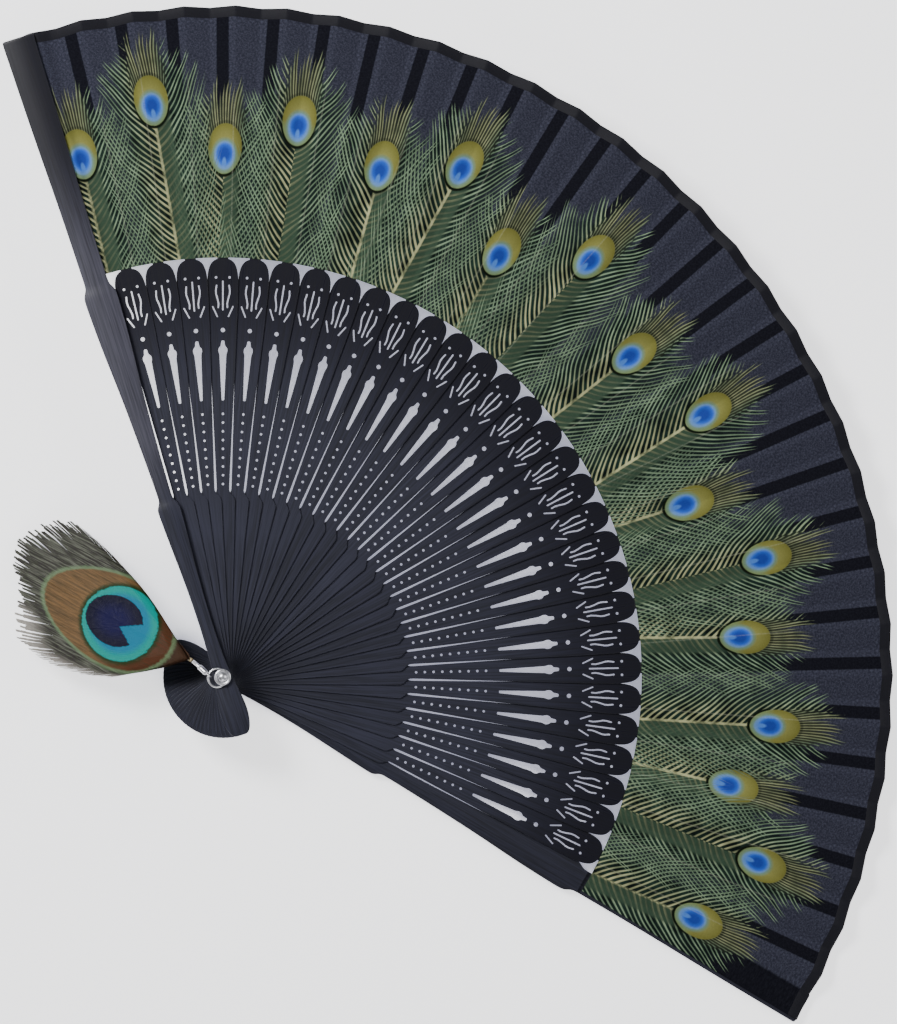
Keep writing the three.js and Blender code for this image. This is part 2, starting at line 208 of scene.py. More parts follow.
def stained_wood(put, rubbed=0.0, head_shade=(0.075, 0.118, 0.8, 0.11)):
    """Bamboo stained blue-black and rubbed with wax: satin, with long faint grain lines 0.5 mm apart.
    Rubbed is how strongly a painted sheen, in grey streaks along the grain, lightens the middle of a guard.
    The last argument is painted shade towards the head: the radius where the stain starts to darken and where
    it is full, how dark it is there, and how much glossier the wax is there."""
    c = colours()
    place = put("TexCoord").outputs["Object"]
    own = put("ObjectInfo").outputs["Random"]
    shift = put("CombineXYZ", own, own, own)
    grain_place = put("VectorMath.MULTIPLY_ADD", place, (2000, 60, 400), shift)
    grain = put("TexNoise", grain_place, 1.0, 3, 0.6)
    lines = put("MapRange", grain.outputs[0], 0.35, 0.62, 0, 1)
    tone = put("MapRange", own, 0, 1, 0.86, 1.12)
    base = put(MIX, lines, c.wood_dark, c.wood)
    base = put("VectorMath.MULTIPLY", base, tone)
    radius = put("VectorMath.LENGTH", put("VectorMath.MULTIPLY", place, (1, 1, 0))).outputs["Value"]
    if rubbed:
        # Painted sheen: grey streaks along the grain lighten the middle of a guard's blade
        worn = put(TIMES, put(SMOOTH, radius, 0.045, 0.075),
                   put(SMOOTH, radius, 0.16, 0.12, 0.1, 1.0))
        sheen_streak = put("MapRange", grain.outputs[0], 0.3, 0.65, 0.35, 1.0)
        worn = put(TIMES, put(TIMES, worn, sheen_streak), rubbed)
        base = put(MIX, worn, base, linear("#6C6A76"))
    start, end, most, gloss = head_shade
    # Painted shade: the stain darkens towards the stick's head, where the wax is also glossier
    head_shade_mask = put(SMOOTH, radius, start, end, 0, most)
    base = put(MIX, head_shade_mask, base, linear("#121118"))
    rough = put("MapRange", grain.outputs[0], 0.3, 0.7, 0.5, 0.36)
    rough = put(TIMES_PLUS, head_shade_mask, -gloss / most, rough)
    bump = put("Bump", {"Strength": 0.25, "Distance": 0.00005, "Height": grain.outputs[0]})
    return put("BsdfPrincipled", {
        "Base Color": base, "Roughness": rough, "IOR": 1.5, "Specular IOR Level": 0.3,
        "Normal": bump})


def plated_brass(put):
    """Nickel-plated brass, tumbled bright and dulled by handling: soft reflections with fine marks."""
    place = put("TexCoord").outputs["Object"]
    marks = put("TexNoise", place, 2500, 4, 0.7)
    rough = put("MapRange", marks.outputs[0], 0.3, 0.7, 0.26, 0.42)
    bump = put("Bump", {"Strength": 0.15, "Distance": 0.00002, "Height": marks.outputs[0]})
    return put("BsdfPrincipled", {
        "Base Color": colours().silver, "Metallic": 1.0, "Roughness": rough, "Normal": bump})


def binding_tape(put):
    """Woven polyester tape, heat-pressed: nearly black, dull, with a fine cross rib."""
    pleat = put("Attribute", attribute_name="pleat").outputs["Vector"]
    # A wave texture has a line every pi / 10 units: here a rib every 0.35 mm. That is about a pixel of the
    # render, so the ribs only break up the gloss
    rib = put("TexWave", pleat, 0.9, 0.4, 2, wave_type="BANDS")
    noise = put("TexNoise", pleat, 2.5, 3)
    base = put(MIX, noise.outputs[0], colours().tape, linear("#1C1C25"))
    height = put("Math.ADD", rib.outputs[1], noise.outputs[0])
    bump = put("Bump", {"Strength": 0.3, "Distance": 0.00005, "Height": height})
    return put("BsdfPrincipled", {
        "Base Color": base, "Roughness": 0.62, "Specular IOR Level": 0.2, "Normal": bump})


def oval(put, x, y, centre, half_width, half_height, taper=0.0):
    """Distance from an oval's centre, 1 on its edge. Its width grows with y by taper."""
    up = put("Math.SUBTRACT", y, centre)
    across = put("Math.DIVIDE", x, put(TIMES_PLUS, up, taper, half_width))
    tall = put("Math.DIVIDE", up, half_height)
    return put("VectorMath.LENGTH", put("CombineXYZ", across, tall)).outputs["Value"]


def printed_feather():
    """Node group: the colour and cover of one printed feather around its eye.
    Place is (across, along, seed), in millimetres from the eye's centre, along pointing to the rim."""
    c = colours()
    tree = bpy.data.node_groups.new("printed_feather", "ShaderNodeTree")
    tree.interface.new_socket("Place", in_out="INPUT", socket_type="NodeSocketVector")
    tree.interface.new_socket("Colour", in_out="OUTPUT", socket_type="NodeSocketColor")
    tree.interface.new_socket("Cover", in_out="OUTPUT", socket_type="NodeSocketFloat")
    tree.interface.new_socket("Ground", in_out="OUTPUT", socket_type="NodeSocketFloat")
    place = tree.nodes.new("NodeGroupInput").outputs[0]
    out = tree.nodes.new("NodeGroupOutput")
    put = functools.partial(add, tree)
    x, y, seed = put("SeparateXYZ", place).outputs
    drift = put(TIMES_PLUS, put("TexNoise", place, 0.09, 0), 3.6, -1.8)
    wide = put("Math.ABSOLUTE", x)
    square = put(TIMES, wide, wide)
    side = put("Math.GREATER_THAN", x, 0.0)

    # Side barbs leave the shaft at 37 degrees and curve towards the rim
    root = put("Math.SUBTRACT", put("Math.ADD", y, drift), put(TIMES, wide, 0.75))
    root = put(TIMES_PLUS, square, -0.045, root)
    phase = put("Math.DIVIDE", root, sizes().barb_spacing / MM)
    phase = put("Math.ADD", phase, put(TIMES_PLUS, side, 0.43, seed))
    number = put(TIMES_PLUS, side, 57.0, put("Math.FLOOR", phase))
    chance = put("TexWhiteNoise", number, noise_dimensions="1D")
    ridge = put("Math.PINGPONG", phase, 0.5)
    # Crown barbs stand above the eye, fanned out
    fan_out = put(TIMES_PLUS, drift, 0.45, x)
    fan_out = put("Math.DIVIDE", fan_out, put(TIMES_PLUS, y, 0.03, 0.5))
    crown_chance = put("TexWhiteNoise", put("Math.FLOOR", put("Math.ADD", fan_out, 200.0)),
                       noise_dimensions="1D")
    crown = put(TIMES, put(SMOOTH, wide, 6.5, 3.5),
                put(SMOOTH, y, 2.0, 5.0))
    ridge = put("Mix.FLOAT", crown, ridge, put("Math.PINGPONG", fan_out, 0.5))
    chance = put("Mix.FLOAT", crown, chance, crown_chance)

    # The barbs end in a flame shape round the eye, each at its own length
    tip = put(TIMES_PLUS, square, -0.03, 16.0)
    tip = put(TIMES_PLUS, wide, -0.42, tip)
    tip = put("Math.SUBTRACT", put(TIMES_PLUS, chance, 8.0, tip), y)
    far = put("Math.SUBTRACT", 14.5, put(TIMES_PLUS, chance, -4.0, wide))
    tip = put("Math.MINIMUM", tip, far)
    reach = put(SMOOTH, tip, 0.0, 3.5)
    # Each barb is thinner towards its tip, so the cloth shows between the tips
    thin = put(TIMES_PLUS, reach, 0.08, put(TIMES_PLUS, chance, 0.07, 0.07))
    stroke = put(SMOOTH, ridge, put("Math.ADD", thin, 0.08), put("Math.SUBTRACT", thin, 0.06))
    patch = put("TexNoise", place, 0.25, 1, 0.5)
    # A plain band runs down beside the shaft
    band = put("Math.ABSOLUTE", put("Math.SUBTRACT", x, 2.3))
    calm = put(TIMES, put(SMOOTH, band, 2.8, 1.6), put(SMOOTH, y, -3.0, -8.0))
    strong = put(TIMES_PLUS, calm, -0.75, 1.0)
    strong = put(TIMES, strong, put("MapRange", patch, 0.3, 0.6, 0.5, 1.0))
    strong = put(TIMES, strong, put(TIMES_PLUS, crown, -0.45, 1.0))
    bright = put(TIMES, strong, put(TIMES_PLUS, chance, 0.55, 0.45))
    near = put(TIMES, put(SMOOTH, x, -9.0, -1.0), put(SMOOTH, x, 6.0, 1.0))
    tone = put(MIX, near, c.barb_green, c.barb_pale)
    tone = put(MIX, bright, c.under_green, tone)
    gap = put(MIX, put("MapRange", patch, 0.35, 0.7), linear("#0C1412"), c.under_green)
    gap = put(MIX, calm, gap, linear("#374B3B"))
    gap = put(MIX, crown, gap, linear("#35382A"))
    shown = put(MIX, stroke, gap, tone)
    # Far from the shaft only the barbs cover, so two feathers cross like a net
    ground = put(SMOOTH, tip, 0.5, 9.0)
    dense = put(TIMES, put(SMOOTH, wide, 3.5, 8.5, 0.92, 0.2), ground)
    cover = put("Math.MAXIMUM", put(TIMES, reach, stroke), dense)

    # Shaft below the eye
    shaft = put(TIMES, put(SMOOTH, wide, 0.55, 0.15), put(SMOOTH, y, -5.0, -7.5))
    plain = put(TIMES, put("MapRange", patch, 0.35, 0.6, 0.25, 1.0),
                put(SMOOTH, put("Math.SINE", put(TIMES, seed, 9.0)), -0.6, 0.6))
    shown = put(MIX, put(TIMES, shaft, plain), shown, c.barb_pale)

    # The eye, from its outer zone to its heart
    gold = oval(put, x, y, 0.2, 4.75, 7.2, 0.04)
    ring = oval(put, x, y, -1.75, 3.1, 4.3, 0.04)
    heart = oval(put, x, y, -1.4, 2.45, 3.3, 0.08)
    notch = oval(put, x, y, -3.9, 0.6, 1.5)
    low = put(SMOOTH, y, 0.5, -3.0)
    rim = put(TIMES, put(SMOOTH, gold, 1.17, 1.1), put(SMOOTH, gold, 0.99, 1.03))
    shown = put(MIX, put(TIMES, rim, put("Math.MAXIMUM", low, 0.4)), shown, linear("#12180F"))
    zone = put(MIX, put("MapRange", gold, 0.5, 1.0), linear("#86864A"), c.eye_gold)
    zone = put(MIX, put(TIMES, low, 0.8), zone, linear("#74885E"))
    zone = put(MIX, put(SMOOTH, ring, 1.3, 1.0), zone, linear("#6E8A74"))
    shown = put(MIX, put(SMOOTH, gold, 1.04, 0.98), shown, zone)
    zone = put(MIX, put(SMOOTH, ring, 0.6, 1.0), c.eye_ring, linear("#6C92BC"))
    shown = put(MIX, put(SMOOTH, ring, 1.06, 0.86), shown, zone)
    inside = put(TIMES, put(SMOOTH, heart, 1.12, 0.8),
                 put(SMOOTH, notch, 0.7, 1.35))
    zone = put(MIX, put(SMOOTH, heart, 0.4, 1.0), c.eye_heart, linear("#2F62CC"))
    shown = put(MIX, inside, shown, zone)
    cover = put("Math.MAXIMUM", cover, put(SMOOTH, gold, 1.17, 1.1))
    tree.links.new(next(o for o in shown.outputs if o.enabled), out.inputs["Colour"])
    tree.links.new(cover.outputs[0], out.inputs["Cover"])
    tree.links.new(ground.outputs[0], out.inputs["Ground"])
    return tree


def printed_cloth(put):
    """Plain-woven polyester, heat-printed with feathers and pleated with steam: matt, with a
    fine weave and lighter threads here and there, worn pale on the folds, with painted shade where a slip
    behind blocks the light through the thin cloth."""
    c = colours()
    group = printed_feather()
    pleat = put("Attribute", attribute_name="pleat").outputs["Vector"]
    offset, radius, ridge = put("SeparateXYZ", pleat).outputs
    flat = put("CombineXYZ", offset, radius)
    # The threads stand pi / 10, or 0.31, mm apart. That is about a pixel of the render, so the lighter ones
    # are drawn as specks 0.6 mm wide
    warp = put("TexWave", flat, 1.0, 1.2, 2, wave_type="BANDS", bands_direction="X")
    weft = put("TexWave", flat, 1.0, 1.2, 2, wave_type="BANDS", bands_direction="Y")
    weave = put(TIMES, warp.outputs[1], weft.outputs[1])
    speck = put("TexNoise", flat, 1.6, 4, 0.75).outputs[0]
    thread = put("MapRange", speck, 0.42, 0.68, 0, 0.8)
    base = put(MIX, thread, c.cloth, c.cloth_speck)
    beside = put("Math.ABSOLUTE", offset)
    # Painted shade: the cloth is darker over a slip, where the wood behind blocks the light through the thin
    # cloth
    slip = put(SMOOTH, beside, 1.95, 1.6, 0, 0.85)
    base = put(MIX, slip, base, c.slip_shade)
    feathers = []
    for layer in ("odd_feather", "even_feather"):
        place = put("Attribute", attribute_name=layer).outputs["Vector"]
        feathers.append(put("Group", place, node_tree=group))
    # The dark ground of both feathers lies under the barbs of both
    inked = put("Math.MAXIMUM", feathers[0].outputs["Ground"], feathers[1].outputs["Ground"])
    base = put(MIX, put(TIMES, inked, 0.85), base, linear("#141D19"))
    for feather in feathers:
        base = put(MIX, feather.outputs["Cover"], base, feather.outputs["Colour"])
    worn = put("MapRange", put("Math.ABSOLUTE", ridge), 0.3, 0.05, 0, 0.22)
    worn = put(TIMES, worn, inked)
    rubbed = put(TIMES, worn, put("MapRange", speck, 0.35, 0.6, 0.2, 1.0))
    base = put(MIX, rubbed, base, linear("#A9AC98"))
    dirt = put("MapRange", speck, 0.3, 0.75, 0.9, 1.1)
    base = put("VectorMath.MULTIPLY", base, dirt)
    height = put("Math.ADD", weave, speck)
    bump = put("Bump", {"Strength": 0.35, "Distance": 0.00008, "Height": height})
    rough = put("MapRange", speck, 0.3, 0.7, 0.85, 0.68)
    return put("BsdfPrincipled", {
        "Base Color": base, "Roughness": rough, "Specular IOR Level": 0.04, "Sheen Weight": 0.02,
        "Normal": bump})


def quill_horn(put):
    """Feather shaft: cleaned keratin, pale horn with a low gloss."""
    place = put("TexCoord").outputs["Object"]
    noise = put("TexNoise", place, 900, 3)
    base = put(MIX, noise.outputs[0], colours().quill, linear("#7A6440"))
    bump = put("Bump", {"Strength": 0.2, "Distance": 0.00005, "Height": noise.outputs[0]})
    rough = put("MapRange", noise.outputs[0], 0.3, 0.7, 0.4, 0.6)
    return put("BsdfPrincipled", {
        "Base Color": base, "Roughness": rough, "IOR": 1.54, "Normal": bump})


def feather_barbs(put):
    """Iridescent keratin barbs: a navy heart in a teal ring, a bronze zone with a pale edge, and loose
    grey-green barbs outside, paler near their tips on one side, with painted sheen along each barb and
    painted shade between barbs."""
    c = colours()
    place = put("Attribute", attribute_name="feather_place").outputs["Vector"]
    blur = put("TexNoise", place, 1.1, 3, 0.6)
    y, x, share = put("SeparateXYZ", place).outputs
    y = put("Math.ADD", y, put(TIMES_PLUS, blur, 1.6, -0.8))
    x = put("Math.ADD", x, -0.5)
    ring = oval(put, x, y, 24.4, 10.6, 11.6, -0.04)
    heart = oval(put, x, y, 26.3, 7.1, 9.0, -0.05)
    bronze = oval(put, x, y, 28.5, 12.6, 21.0, -0.09)
    along = put("TexWave", put("Mapping", place, None, (0, 0, 0.2), (0.1, 1.6, 1)), 1.4, 6.0, 2,
                wave_type="BANDS", bands_direction="Y")
    strand = put("TexNoise", put("VectorMath.MULTIPLY", place, (0.12, 2.6, 1)), 1.0, 3, 0.7)
    loose = put(MIX, put("MapRange", blur, 0.35, 0.65), linear("#303226"), c.tip)
    loose = put(MIX, put("MapRange", strand, 0.45, 0.68), loose, linear("#74776A"))
    shown = put(MIX, put(SMOOTH, y, 11.0, 4.0), loose, linear("#4A3528"))
    pale = put(TIMES, put(SMOOTH, bronze, 1.1, 1.03), 0.55)
    shown = put(MIX, pale, shown, linear("#7E9C70"))
    brown = put(MIX, put(SMOOTH, y, 30.0, 14.0), c.bronze, linear("#5C3320"))
    brown = put(MIX, put("MapRange", strand, 0.38, 0.66, 0.0, 0.85), brown, linear("#443A26"))
    shown = put(MIX, put(SMOOTH, bronze, 1.03, 0.98), shown, brown)
    shown = put(MIX, put(SMOOTH, ring, 1.16, 1.03), shown, linear("#22381A"))
    zone = put(MIX, put(SMOOTH, ring, 0.7, 0.92), c.cyan, c.teal)
    shown = put(MIX, put(SMOOTH, ring, 1.03, 0.99), shown, zone)
    # The notch is a wedge that opens towards the base
    open_by = put(TIMES, put("Math.SUBTRACT", 24.0, y), 0.62)
    wedge = put("Math.SUBTRACT", open_by, put("Math.ABSOLUTE", put("Math.ADD", x, -0.9)))
    inside = put(TIMES, put(SMOOTH, heart, 1.03, 0.99),
                 put(SMOOTH, wedge, 0.3, -0.2))
    zone = put(MIX, put(SMOOTH, heart, 0.3, 0.9), linear("#0F0C42"), c.navy)
    shown = put(MIX, inside, shown, zone)
    fringe = put(TIMES, put(SMOOTH, share, 0.7, 0.95), put(SMOOTH, x, 7.0, 12.0))
    shown = put(MIX, put(TIMES, fringe, 0.8), shown, linear("#B4AEA6"))
    # Painted sheen and shade: bands along each barb lighten its crest and darken the gaps between barbs
    lines = put("MapRange", along, 0.0, 1.0, 0.62, 1.1)
    shown = put("VectorMath.MULTIPLY", shown, lines)
    rough = put("MapRange", blur, 0.3, 0.7, 0.42, 0.6)
    bump = put("Bump", {"Strength": 0.3, "Distance": 0.00003, "Height": along.outputs[1]})
    return put("BsdfPrincipled", {
        "Base Color": shown, "Roughness": rough, "Specular IOR Level": 0.12, "Normal": bump})


# Shapes

def rounded(points, steps=5):
    """A closed outline of (x, y, reach) with each corner rounded over reach, at most half of a side."""
    outline = []
    for i, (x, y, reach) in enumerate(points):
        corner = Vector((x, y))
        before = Vector(points[i - 1][:2]) - corner
        after = Vector(points[(i + 1) % len(points)][:2]) - corner
        start = corner + before.normalized() * min(reach, before.length / 2)
        end = corner + after.normalized() * min(reach, after.length / 2)
        count = steps if reach > 0 else 0
        for j in range(count + 1):
            t = j / count if count else 0.5
            outline.append(start * (1 - t) ** 2 + corner * 2 * t * (1 - t) + end * t ** 2)
    return outline


def mirrored(stations):
    """A closed outline, symmetric about +Y, from (radius, half width, reach) from tail to tip."""
    right = [(half, r, reach) for r, half, reach in stations]
    left = [(-half, r, reach) for r, half, reach in reversed(stations) if half > 0]
    return rounded(right + left)


def dot(x, y, radius, sides=14):
    return [Vector((x + radius * math.cos(2 * math.pi * i / sides),
                    y + radius * math.sin(2 * math.pi * i / sides))) for i in range(sides)]


def slot_hole(points, half):
    """The outline of a slot with round ends that follows points."""
    points = [Vector(p) for p in points]
    outline = []
    for chain in (points, points[::-1]):
        normals = [Vector((b.y - a.y, a.x - b.x)).normalized() for a, b in zip(chain, chain[1:])]
        outline.append(chain[0] + normals[0] * half)
        outline += [p + (n + m).normalized() * half for p, n, m in zip(chain[1:], normals, normals[1:])]
        outline.append(chain[-1] + normals[-1] * half)
        last = (chain[-1] - chain[-2]).normalized() * half
        for turn in (-45, 0, 45):
            outline.append(chain[-1] + Matrix.Rotation(math.radians(turn), 2) @ last)
    return outline


def plate_mesh(name, outlines, thickness, edge):
    """A flat plate, in millimetres: the first outline is its edge and the others are holes."""
    curve = bpy.data.curves.new(name, "CURVE")
    curve.dimensions = "2D"
    curve.fill_mode = "BOTH"
    for outline in outlines:
        spline = curve.splines.new("POLY")
        spline.points.add(len(outline) - 1)
        for point, place in zip(spline.points, outline):
            point.co = (place.x, place.y, 0, 1)
        spline.use_cyclic_u = True
    curve.extrude = thickness / 2 - edge
    curve.bevel_depth = edge
    curve.bevel_resolution = 1
    curve.offset = -edge
    maker = bpy.data.objects.new(name, curve)
    bpy.context.scene.collection.objects.link(maker)
    bpy.context.view_layer.update()
    mesh = bpy.data.meshes.new_from_object(maker.evaluated_get(bpy.context.evaluated_depsgraph_get()))
    bpy.data.objects.remove(maker)
    return mesh


def mesh_from(name, points, faces):
    mesh = bpy.data.meshes.new(name)
    mesh.from_pydata([tuple(p) for p in points], [], faces)
    mesh.validate()
    return mesh


def piece(name, mesh, look, smooth=35):
    """Links a mesh as a new object with its material."""
    obj = bpy.data.objects.new(name, mesh)
    bpy.context.scene.collection.objects.link(obj)
    mesh.materials.clear()
    mesh.materials.append(look)
    mesh.shade_smooth()
    mesh.set_sharp_from_angle(angle=math.radians(smooth))
    return obj


def joined(name, meshes):
    """One mesh of several, with their vertices kept apart."""
    points, faces = [], []
    for mesh in meshes:
        start = len(points)
        points += [v.co[:] for v in mesh.vertices]
        faces += [[start + v for v in p.vertices] for p in mesh.polygons]
    return mesh_from(name, points, faces)


def turned(profile, sides, cap=False):
    """Points and faces of a profile of (radius, z) turned about Z. A profile that starts and ends on the
    axis is closed by itself; any other profile is a closed loop."""
    points, faces = [], []
    n = len(profile)
    for i in range(sides):
        a = 2 * math.pi * i / sides
        points += [(r * math.cos(a), r * math.sin(a), z) for r, z in profile]
    for i in range(sides):
        k = (i + 1) % sides
        for j in range(n - 1 if cap else n):
            m = (j + 1) % n
            faces.append((i * n + j, k * n + j, k * n + m, i * n + m))
    return points, faces


def cleaned(name, points, faces):
    """A mesh without doubled points or collapsed faces."""
    mesh = mesh_from(name, points, faces)
    shape = bmesh.new()
    shape.from_mesh(mesh)
    bmesh.ops.remove_doubles(shape, verts=shape.verts, dist=1e-7)
    bmesh.ops.dissolve_degenerate(shape, edges=shape.edges, dist=1e-8)
    bmesh.ops.recalc_face_normals(shape, faces=shape.faces)
    shape.to_mesh(mesh)
    shape.free()
    return mesh


def turn_of(k):
    """Direction of stick k from +Y: 0 is the front guard and RIBS + 1 the rear guard."""
    return sizes().spread / 2 - k * sizes().spread / (RIBS + 1)


def middle(node):
    low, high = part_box(node)
    return (low + high) / 2


def slope_at(r):
    s = sizes()
    return s.pleat_slope * min(max((r - s.leaf_radius) / s.slope_run, 0), 1)


class FAN_OT_ribs(bpy.types.Operator):
    """Builds the thirty pierced ribs with their slips"""
    bl_idname = "fan.ribs"
    bl_label = "Ribs"

    def execute(self, context):
        s = sizes()
        tail = s.tail_radius / MM
        outline = mirrored([
            (-tail, 0, 9), (-tail, 2.6, 9), (-tail * 0.8, 3.75, 9), (0, 2.15, 20), (49.8, 3.5, 2.5),
            (51.2, 3.5, 1), (53.2, 1.82, 1.2), (54.6, 1.8, 2), (88, 3.46, 12), (104, 4.2, 8),
            (114.8, 4.5, 2.5), (118.2, 3.9, 2), (119.9, 2.4, 2), (120.35, 0, 2)])
        holes = [dot(0, 0, s.hole_radius / MM, 24), dot(0, 99.6, 0.62)]
        holes += [dot(0, 55.4 + 2.52 * i, 0.36) for i in range(9)]
        holes.append(slot_hole([(0, 105.4), (0, 113.6)], 0.22))
        blade = [(0.36, 79.4, 0.3), (0.98, 92.6, 0.4), (1.32, 93.6, 0.3), (1.2, 94.5, 0.3), (0.64, 95.0, 0.3),
                 (0.42, 96.6, 0.3)]
        holes.append(rounded(blade + [(-x, y, reach) for x, y, reach in reversed(blade)], 3))
        for side in (-1, 1):
            holes.append(dot(side * 1.95, 114.7, 0.37))
            holes.append(slot_hole([(side * x, y) for x, y in (
                (1.3, 106.1), (1.25, 107.2), (1.55, 108.6), (1.95, 110.0), (2.0, 111.0),
                (1.8, 112.4))], 0.22))
            holes.append(slot_hole([(side * 1.6, 103.5), (side * 2.9, 106.3)], 0.2))
        plate = plate_mesh("rib_plate", [outline, *holes], s.rib_thickness / MM, 0.06)
        # The slip leaves the head flat and turns to the slope of its pleat
        points, faces = [], []
        half, thick = s.slip_width / MM / 2, s.slip_thickness / MM / 2
        stations = [117.5, 120.4, 122.8, 125.2, 127.6, 130.0, 150.0, 170.0, 189.0]
        for r in stations:
            slope = slope_at(r * MM)
            points += [(x, r, slope * x + z) for x, z in (
                (-half, -thick), (half, -thick), (half, thick), (-half, thick))]
        for i in range(len(stations) - 1):
            a = 4 * i
            faces += [(a + j, a + (j + 1) % 4, a + 4 + (j + 1) % 4, a + 4 + j) for j in range(4)]
        last = 4 * (len(stations) - 1)
        faces += [(3, 2, 1, 0), (last, last + 1, last + 2, last + 3)]
        rib = joined("rib", [plate, mesh_from("slip", points, faces)])
        rib.transform(Matrix.Scale(MM, 4))
        look = material("stained_bamboo", stained_wood)
        for k in range(1, RIBS + 1):
            obj = piece(f"pierced_rib_{k:02d}", rib, look)
            height = middle(f"rib_{k:02d}").z
            obj.matrix_world = Matrix.Translation((0, 0, height)) @ Matrix.Rotation(turn_of(k), 4, "Z")
            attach(obj, f"rib_{k:02d}")
            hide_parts(f"rib_{k:02d}")
        return {"FINISHED"}


class FAN_OT_guards(bpy.types.Operator):
    """Builds the two guards, thinned where the leaf is glued"""
    bl_idname = "fan.guards"
    bl_label = "Guards"

    def execute(self, context):
        s = sizes()
        tail = s.tail_radius / MM
        rim = s.rim_radius / MM
        outline = mirrored([
            (-tail, 0, 9), (-tail, 2.6, 9), (-tail * 0.74, 3.95, 6), (-tail * 0.45, 3.9, 5), (2, 2.1, 9),
            (22, 1.75, 20), (44, 3.0, 6), (49.6, 3.25, 2), (51.4, 3.2, 1), (53.2, 2.0, 1.2), (60, 2.1, 8),
            (84, 3.1, 20), (100, 4.3, 30), (113, 4.8, 3), (115.6, 4.7, 1.5), (117.6, 3.5, 1.2),
            (119.4, 3.4, 1), (140, 3.6, 30), (165, 4.3, 30), (rim, 4.7, 0.8)])
        thick = s.guard_thickness / MM
        recess = s.guard_recess / MM
        # The front guard has a painted sheen mid-blade, and both guards have painted shade towards the tip
        rubbed = material("waxed_bamboo", functools.partial(
            stained_wood, rubbed=0.38, head_shade=(0.12, 0.17, 0.8, 0)))
        plain = material("dull_bamboo", functools.partial(stained_wood, head_shade=(0.06, 0.1, 0.2, 0)))
        for node, k, cut_side in (("front_guard", 0, -1), ("rear_guard", RIBS + 1, 1)):
            mesh = plate_mesh(node, [outline, dot(0, 0, s.hole_radius / MM, 24)], thick, 0.22)
            obj = piece(f"carved_{node}", mesh, rubbed if node == "front_guard" else plain)
            bpy.ops.mesh.primitive_cube_add(size=1)
            cutter = context.active_object
            cutter.scale = (20, 80, 2 * recess)
            cutter.location = (0, 119.2 + 40, cut_side * thick / 2)
            cut = obj.modifiers.new("recess", "BOOLEAN")
            cut.object = cutter
            cut.operation = "DIFFERENCE"
            cut.solver = "EXACT"
            context.view_layer.update()
            made = bpy.data.meshes.new_from_object(obj.evaluated_get(context.evaluated_depsgraph_get()))
            obj.modifiers.clear()
            obj.data = made
            bpy.data.objects.remove(cutter)
            made.transform(Matrix.Scale(MM, 4))
            made.shade_smooth()
            made.set_sharp_from_angle(angle=math.radians(35))
            height = middle(node).z
            obj.matrix_world = Matrix.Translation((0, 0, height)) @ Matrix.Rotation(turn_of(k), 4, "Z")
            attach(obj, node)
            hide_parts(node)
        return {"FINISHED"}


def fold_lines():
    """The leaf's fold lines as (direction, side, height at a radius), left to right."""
    s = sizes()
    quarter = s.spread / (RIBS + 1) / 4
    lift = s.slip_thickness / 2 + s.cloth_gap + s.cloth_thickness / 2
    seat = s.tape_thickness / 2 + s.cloth_gap
    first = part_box("front_guard")[0].z + s.guard_recess - seat
    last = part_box("rear_guard")[1].z - s.guard_recess + seat
    lines = []
    for k in range(RIBS + 2):
        for side in (-1, 1):
            turn = turn_of(k) - side * quarter
            if k in (0, RIBS + 1):
                level = first if k == 0 else last
                lines.append((turn, side, lambda r, z=level: z))
            else:
                base = middle(f"rib_{k:02d}").z + lift
                rise = side * math.tan(quarter)
                lines.append((turn, side, lambda r, z=base, t=rise: z + slope_at(r) * r * t))
    return lines


def eased(f, soft=0.08):
    """A share across a panel with the ends softened, so that a fold is slightly round."""
    if f > 0.5:
        return 1 - eased(1 - f, soft)
    return (f * f / (2 * soft) if f < soft else f - soft / 2) / (1 - soft)


# Shares of a panel at which the leaf has a column, closer where it folds
COLUMNS = (0, 0.04, 0.08, 0.2, 0.35, 0.5, 0.65, 0.8, 0.92, 0.96)


def gore_columns(k):
    """Columns of gore k as (fold line on the left, fold line on the right, share of the way between)."""
    panels = [(2 * k, 2 * k + 1), (2 * k + 1, 2 * k + 2)]
    if k == RIBS:
        panels.append((2 * k + 2, 2 * k + 3))
    return [(a, b, f) for a, b in panels for f in COLUMNS] + [(*panels[-1], 1)]


def column_points(lines, column, rows):
    """The middle of the cloth along one column."""
    s = sizes()
    a, b, f = column
    (turn_a, side_a, high_a), (turn_b, side_b, high_b) = lines[a], lines[b]
    turn = turn_a + (turn_b - turn_a) * f
    # The first panel that falls back stays high at first, so that it clears the ribs when the fan is closed
    soft = eased(min(max(2 * f - 0.5, 0), 1), 0.45) if a == 1 else eased(f)
    wave = side_a + (side_b - side_a) * f
    points = []
    for r in rows:
        z = high_a(r) + (high_b(r) - high_a(r)) * soft
        run = (r - s.leaf_radius) / (s.rim_radius - s.leaf_radius)
        out = r + s.rim_wave * wave * max(run, 0)
        # A panel is flat between its folds, so its middle lies a little nearer than an arc would
        out *= math.cos(abs(turn_b - turn_a) / 2) / math.cos(turn - (turn_a + turn_b) / 2)
        points.append((-out * math.sin(turn), out * math.cos(turn), z, turn, out))
    return points


def feather_places(turn_middle, points):
    """Millimetres from the eye of the nearest odd and even printed feather, for one strip of the leaf."""
    made = []
    for parity in (0, 1):
        best = None
        for i, (view, radius, lean) in enumerate(FEATHERS):
            if i % 2 != parity:
                continue
            own = math.radians(view + VIEW_TURN - 90)
            if best is None or abs(own - turn_middle) < abs(best[0] - turn_middle):
                best = (own, radius, lean, i)
        own, radius, lean, i = best
        tilt = math.radians(lean)
        places = []
        for turn, out in points:
            x = out / MM * math.sin(own - turn)
            y = out / MM * math.cos(own - turn) - radius
            places.append((x * math.cos(tilt) - y * math.sin(tilt), x * math.sin(tilt) + y * math.cos(tilt),
                           (i * 7.31) % 10))
        made.append(places)
    return made


